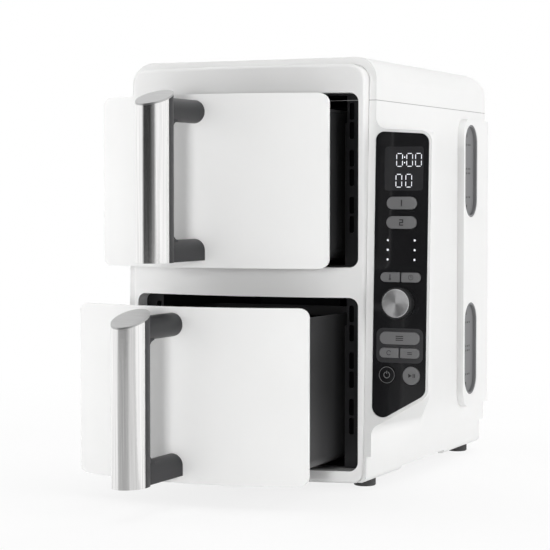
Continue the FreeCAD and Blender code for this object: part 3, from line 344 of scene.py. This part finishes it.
mark = bmesh.new()
numeral(mark, "1", 146.0, 256.0, 2.6, 4.6, 1.0, -1.0)
on_pod(mark, "mark_zone_1", mark_print, "button_zone_1", mark_lift)
mark = bmesh.new()
numeral(mark, "2", 147.3, 239.0, 2.8, 4.6, 0.9, -0.9)
on_pod(mark, "mark_zone_2", mark_print, "button_zone_2", mark_lift)
mark = bmesh.new()
flat_bar(mark, 137.6, 191.7, 0.9, 3.6)
ring_mark(mark, 137.6, 189.2, 0.7, 0.7)
on_pod(mark, "mark_temp", mark_print, "button_temp", mark_lift)
mark = bmesh.new()
ring_mark(mark, 157.0, 190.9, 2.1, 0.45)
flat_bar(mark, 157.0, 191.6, 0.4, 1.5)
flat_bar(mark, 157.5, 190.9, 1.1, 0.4)
on_pod(mark, "mark_time", mark_print, "button_time", mark_lift)
mark = bmesh.new()
for level_z in (135.8, 137.5, 139.2):
    flat_bar(mark, 147.3, level_z, 7.0, 0.7)
on_pod(mark, "mark_stack", mark_print, "button_stack", mark_lift)
mark = bmesh.new()
ring_mark(mark, 137.6, 124.5, 1.9, 0.5, 20, 300)
on_pod(mark, "mark_sync", mark_print, "button_sync", mark_lift)
mark = bmesh.new()
for level_z in (123.8, 125.2):
    flat_bar(mark, 157.0, level_z, 4.4, 0.6)
on_pod(mark, "mark_match", mark_print, "button_match", mark_lift)
mark = bmesh.new()
ring_mark(mark, 136.0, 105.0, 2.7, 0.6, 115, 310)
flat_bar(mark, 136.0, 107.2, 0.6, 2.6)
ring_mark(mark, 136.0, 105.0, 7.1, 0.35)
on_pod(mark, "mark_power", mark_pale, "button_power", mark_lift)
mark = bmesh.new()
start_radius = 0.0021
start_sign = bmesh.ops.create_cone(
    mark, cap_ends=True, cap_tris=False, segments=3, radius1=start_radius, radius2=start_radius,
    depth=print_depth / 1000,
)["verts"]
bmesh.ops.rotate(mark, verts=start_sign, matrix=Matrix.Rotation(math.radians(90), 3, "X"))
bmesh.ops.rotate(mark, verts=start_sign, matrix=Matrix.Rotation(math.radians(90), 3, "Y"))
bmesh.ops.translate(mark, verts=start_sign, vec=(0.1572, 0, 0.105))
for bar_x in (160.6, 162.0):
    flat_bar(mark, bar_x, 105.0, 0.7, 3.4)
on_pod(mark, "mark_start", mark_print, "button_start", mark_lift)


# Group ground: a dark grey rounded field printed on the glass round the stack, sync and match
# buttons, with an opening for each cap.
def rounded_loop(mesh, x, z, width, height, left_radius, right_radius):
    """Adds the outline of a plate with its own corner radius at each end."""
    plate = bmesh.ops.create_grid(mesh, x_segments=1, y_segments=1, size=0.5)["verts"]
    bmesh.ops.scale(mesh, verts=plate, vec=(width / 1000, height / 1000, 1))
    bmesh.ops.rotate(mesh, verts=plate, matrix=Matrix.Rotation(math.radians(90), 3, "X"))
    bmesh.ops.translate(mesh, verts=plate, vec=(x / 1000, 0, z / 1000))
    ends = [[v for v in plate if v.co.x < x / 1000], [v for v in plate if v.co.x > x / 1000]]
    for end, radius in zip(ends, (left_radius, right_radius)):
        bmesh.ops.bevel(
            mesh, geom=end, offset=radius / 1000, affect="VERTICES", segments=6, profile=0.5,
            material=-1,
        )


field = bmesh.new()
outer_radius, inner_radius, end_radius = 5.6, 1.2, 4.4
rounded_loop(field, 147.3, 131.0, 43.6, 30.4, outer_radius, outer_radius)
rounded_loop(field, 147.3, 137.5, 38.2, 11.8, outer_radius, outer_radius)
rounded_loop(field, 137.6, 124.5, 18.8, 9.6, end_radius, inner_radius)
rounded_loop(field, 157.0, 124.5, 18.8, 9.6, inner_radius, end_radius)
bmesh.ops.delete(field, geom=field.faces[:], context="FACES_ONLY")
bmesh.ops.triangle_fill(
    field, use_beauty=True, use_dissolve=False, edges=field.edges[:], normal=(0, -1, 0)
)
bmesh.ops.solidify(field, geom=field.faces[:], thickness=0.00005)
field_print = moulded_finish("field_print", (0.04, 0.04, 0.042), 0.3, 400, 0.02, 0.08)
on_pod(field, "group_field", field_print, "housing", 0.37)

# Dial: a dark moulded knob with a grooved rim, pushed on its shaft through the glass. A disc of turned
# metal with a rounded edge is set in its front.
skirt_dark = moulded_finish("dial_skirt", (0.022, 0.022, 0.023), 0.35, 900, 0.08, 0.1)
skirt_dark.node_tree.nodes["Principled BSDF"].inputs["Specular IOR Level"].default_value = 0.3
dress(skirt_dark, "dial")
dial_middle = Vector((0.1473, 0, 0.1683))
face_radius, face_depth, face_edge = 0.0125, 0.0014, 0.0006
face = bmesh.new()
bmesh.ops.create_cone(
    face, cap_ends=True, cap_tris=False, segments=96, radius1=face_radius, radius2=face_radius,
    depth=face_depth,
)
bmesh.ops.bevel(
    face, geom=face.edges[:], offset=face_edge, affect="EDGES", segments=3, profile=0.5, material=-1
)
bmesh.ops.rotate(face, verts=face.verts, matrix=Matrix.Rotation(math.radians(90), 3, "X"))
bmesh.ops.translate(face, verts=face.verts, vec=dial_middle)
turned = bpy.data.materials.new("turned_metal")
turned.use_nodes = True
tree = turned.node_tree
shader = tree.nodes["Principled BSDF"]
shader.inputs["Metallic"].default_value = 1.0
shader.inputs["Roughness"].default_value = 0.32
shader.inputs["Anisotropic"].default_value = 0.95
place = tree.nodes.new("ShaderNodeTexCoord")
centre = tree.nodes.new("ShaderNodeMapping")
centre.inputs["Location"].default_value = -(pod_front @ dial_middle)
rings = tree.nodes.new("ShaderNodeTexWave")
rings.wave_type = "RINGS"
rings.rings_direction = "Y"
rings.inputs["Scale"].default_value = 500
rings.inputs["Distortion"].default_value = 0.6
tone = tree.nodes.new("ShaderNodeValToRGB")
tone.color_ramp.elements[0].color = (0.82, 0.82, 0.83, 1)
tone.color_ramp.elements[1].color = (0.97, 0.97, 0.97, 1)
groove = tree.nodes.new("ShaderNodeBump")
groove.inputs["Strength"].default_value = 0.15
groove.inputs["Distance"].default_value = 0.0001
spun = tree.nodes.new("ShaderNodeTangent")
spun.direction_type = "RADIAL"
spun.axis = "Y"
tree.links.new(spun.outputs["Tangent"], shader.inputs["Tangent"])
tree.links.new(place.outputs["Object"], centre.inputs["Vector"])
tree.links.new(centre.outputs["Vector"], rings.inputs["Vector"])
tree.links.new(rings.outputs["Fac"], tone.inputs["Fac"])
tree.links.new(rings.outputs["Fac"], groove.inputs["Height"])
tree.links.new(tone.outputs["Color"], shader.inputs["Base Color"])
tree.links.new(groove.outputs["Normal"], shader.inputs["Normal"])
on_pod(face, "dial_face", turned, "dial", -11.4)


# Floor and light: a pale table in a white studio, with broad soft lamps on both sides and above.
# The camera stands where the photograph was taken. A dark card and a grey sheet on its side of the
# studio show only as reflections, down the steel grips.
def background_rays(tree):
    """Gives 1 on rays that show the background: camera, mirrored and see-through ones."""
    seen = tree.nodes.new("ShaderNodeLightPath")
    mirrored = tree.nodes.new("ShaderNodeMath")
    mirrored.operation = "MAXIMUM"
    through = tree.nodes.new("ShaderNodeMath")
    through.operation = "MAXIMUM"
    tree.links.new(seen.outputs["Is Camera Ray"], mirrored.inputs[0])
    tree.links.new(seen.outputs["Is Glossy Ray"], mirrored.inputs[1])
    tree.links.new(mirrored.outputs["Value"], through.inputs[0])
    tree.links.new(seen.outputs["Is Transmission Ray"], through.inputs[1])
    return through.outputs["Value"]


table = bpy.data.materials.new("floor_pale")
table.use_nodes = True
tree = table.node_tree
shader = tree.nodes["Principled BSDF"]
shader.inputs["Base Color"].default_value = (0.93, 0.93, 0.93, 1)
shader.inputs["Roughness"].default_value = 0.7
glow = tree.nodes.new("ShaderNodeEmission")
glow.inputs["Color"].default_value = (1, 1, 1, 1)
place = tree.nodes.new("ShaderNodeTexCoord")
pool = tree.nodes.new("ShaderNodeTexGradient")
pool.gradient_type = "SPHERICAL"
fade = tree.nodes.new("ShaderNodeMath")
fade.operation = "MULTIPLY_ADD"
fade.inputs[1].default_value = -0.2
fade.inputs[2].default_value = 1.0
share = tree.nodes.new("ShaderNodeMath")
share.operation = "MULTIPLY"
blend = tree.nodes.new("ShaderNodeMixShader")
tree.links.new(place.outputs["Object"], pool.inputs["Vector"])
tree.links.new(pool.outputs["Fac"], fade.inputs[0])
tree.links.new(background_rays(tree), share.inputs[0])
tree.links.new(fade.outputs["Value"], share.inputs[1])
tree.links.new(share.outputs["Value"], blend.inputs["Fac"])
tree.links.new(shader.outputs["BSDF"], blend.inputs[1])
tree.links.new(glow.outputs["Emission"], blend.inputs[2])
tree.links.new(blend.outputs["Shader"], tree.nodes["Material Output"].inputs["Surface"])
ground = bmesh.new()
bmesh.ops.create_grid(ground, x_segments=1, y_segments=1, size=6)
floor = finished_piece(ground, "floor", table)

world = bpy.data.worlds.new("studio")
bpy.context.scene.world = world
world.use_nodes = True
tree = world.node_tree
soft = tree.nodes["Background"]
soft.inputs["Color"].default_value = (1, 1, 1, 1)
soft.inputs["Strength"].default_value = 0.12
bright = tree.nodes.new("ShaderNodeBackground")
bright.inputs["Color"].default_value = (1, 1, 1, 1)
bright.inputs["Strength"].default_value = 1.0
pick = tree.nodes.new("ShaderNodeMixShader")
tree.links.new(background_rays(tree), pick.inputs["Fac"])
tree.links.new(soft.outputs["Background"], pick.inputs[1])
tree.links.new(bright.outputs["Background"], pick.inputs[2])
tree.links.new(pick.outputs["Shader"], tree.nodes["World Output"].inputs["Surface"])


def reflected_card(name, sheet, pattern, corner, turn, span, levels):
    """Studio card that shows only in reflections, shaded by a ramp over a gradient."""
    felt = bpy.data.materials.new(name)
    felt.use_nodes = True
    tree = felt.node_tree
    tree.nodes.remove(tree.nodes["Principled BSDF"])
    place = tree.nodes.new("ShaderNodeTexCoord")
    across = tree.nodes.new("ShaderNodeMapping")
    across.vector_type = "TEXTURE"
    across.inputs["Location"].default_value = corner
    across.inputs["Rotation"].default_value = (0, 0, turn)
    across.inputs["Scale"].default_value = (span, span, span)
    gradient = tree.nodes.new("ShaderNodeTexGradient")
    gradient.gradient_type = pattern
    grade = tree.nodes.new("ShaderNodeValToRGB")
    grade.color_ramp.elements[0].color = (0.95, 0.95, 0.95, 1)
    grade.color_ramp.elements[1].color = (0.8, 0.8, 0.8, 1)
    for spot, level in levels:
        grade.color_ramp.elements.new(spot).color = (level, level, level, 1)
    shade = tree.nodes.new("ShaderNodeEmission")
    tree.links.new(place.outputs["Object"], across.inputs["Vector"])
    tree.links.new(across.outputs["Vector"], gradient.inputs["Vector"])
    tree.links.new(gradient.outputs["Fac"], grade.inputs["Fac"])
    tree.links.new(grade.outputs["Color"], shade.inputs["Color"])
    tree.links.new(shade.outputs["Emission"], tree.nodes["Material Output"].inputs["Surface"])
    card = finished_piece(sheet, name, felt)
    card.visible_camera = False
    card.visible_diffuse = False
    card.visible_shadow = False


card_width, card_height, card_turn = 8.6, 3.0, math.radians(12)
card_middle = (0, -3.0, 0.9)
card_end = (-card_width / 2 * math.cos(card_turn), -card_width / 2 * math.sin(card_turn), 0)
card_levels = ((0.14, 0.85), (0.27, 0.04), (0.6, 0.03), (0.82, 0.22))
screen = bmesh.new()
bmesh.ops.create_grid(screen, x_segments=1, y_segments=1, size=0.5)
bmesh.ops.scale(screen, verts=screen.verts, vec=(card_width, card_height, 1))
bmesh.ops.rotate(screen, verts=screen.verts, matrix=Matrix.Rotation(math.radians(90), 3, "X"))
bmesh.ops.translate(screen, verts=screen.verts, vec=card_middle)
bmesh.ops.rotate(screen, verts=screen.verts, matrix=Matrix.Rotation(card_turn, 3, "Z"))
reflected_card("dark_card", screen, "LINEAR", card_end, card_turn, card_width, card_levels)

sheet_width, sheet_length = 12, 5.8
sheet_middle, lower_grip_foot = (0, -3.1, 0.004), (-0.02, -0.25, 0)
sheet_levels = ((0.13, 0.92), (0.17, 0.48), (0.36, 0.45), (0.41, 0.7), (0.5, 0.68))
apron = bmesh.new()
bmesh.ops.create_grid(apron, x_segments=1, y_segments=1, size=0.5)
bmesh.ops.scale(apron, verts=apron.verts, vec=(sheet_width, sheet_length, 1))
bmesh.ops.translate(apron, verts=apron.verts, vec=sheet_middle)
reflected_card("grey_sheet", apron, "RADIAL", lower_grip_foot, 0, 1, sheet_levels)


def soft_lamp(name, spot, aim, size, power):
    """Square studio lamp that faces a point."""
    light = bpy.data.lights.new(name, "AREA")
    light.size = size
    light.energy = power
    lamp = bpy.data.objects.new(name, light)
    bpy.context.scene.collection.objects.link(lamp)
    lamp.location = spot
    lamp.rotation_euler = (Vector(aim) - Vector(spot)).to_track_quat("-Z", "Y").to_euler()
    lamp.visible_glossy = False


soft_lamp("right_lamp", (2.2, 0.2, 0.7), (0, 0, 0.2), 1.8, 34)
soft_lamp("left_lamp", (-2.1, -0.45, 0.6), (0, 0, 0.2), 1.8, 33)
soft_lamp("front_lamp", (0.6, -2.45, 0.3), (0, 0, 0.22), 0.34, 26)
soft_lamp("top_lamp", (0, 0.1, 2.3), (0, 0, 0.3), 1.8, 20)
soft_lamp("back_lamp", (-0.4, 2.4, 0.7), (0, 0, 0.2), 1.6, 24)

bearing, pitch = 0.42673, -0.0424
photo_stand = (0.7087058, -1.5918471, 0.2630325)
eye = bpy.data.cameras.new("photo_camera")
eye.lens = 123.67
eye.sensor_width = 36
camera = bpy.data.objects.new("photo_camera", eye)
bpy.context.scene.collection.objects.link(camera)
camera.location = photo_stand
camera.rotation_euler = (math.pi / 2 + pitch, 0, bearing)
bpy.context.scene.camera = camera
bpy.context.scene.view_settings.view_transform = "Standard"
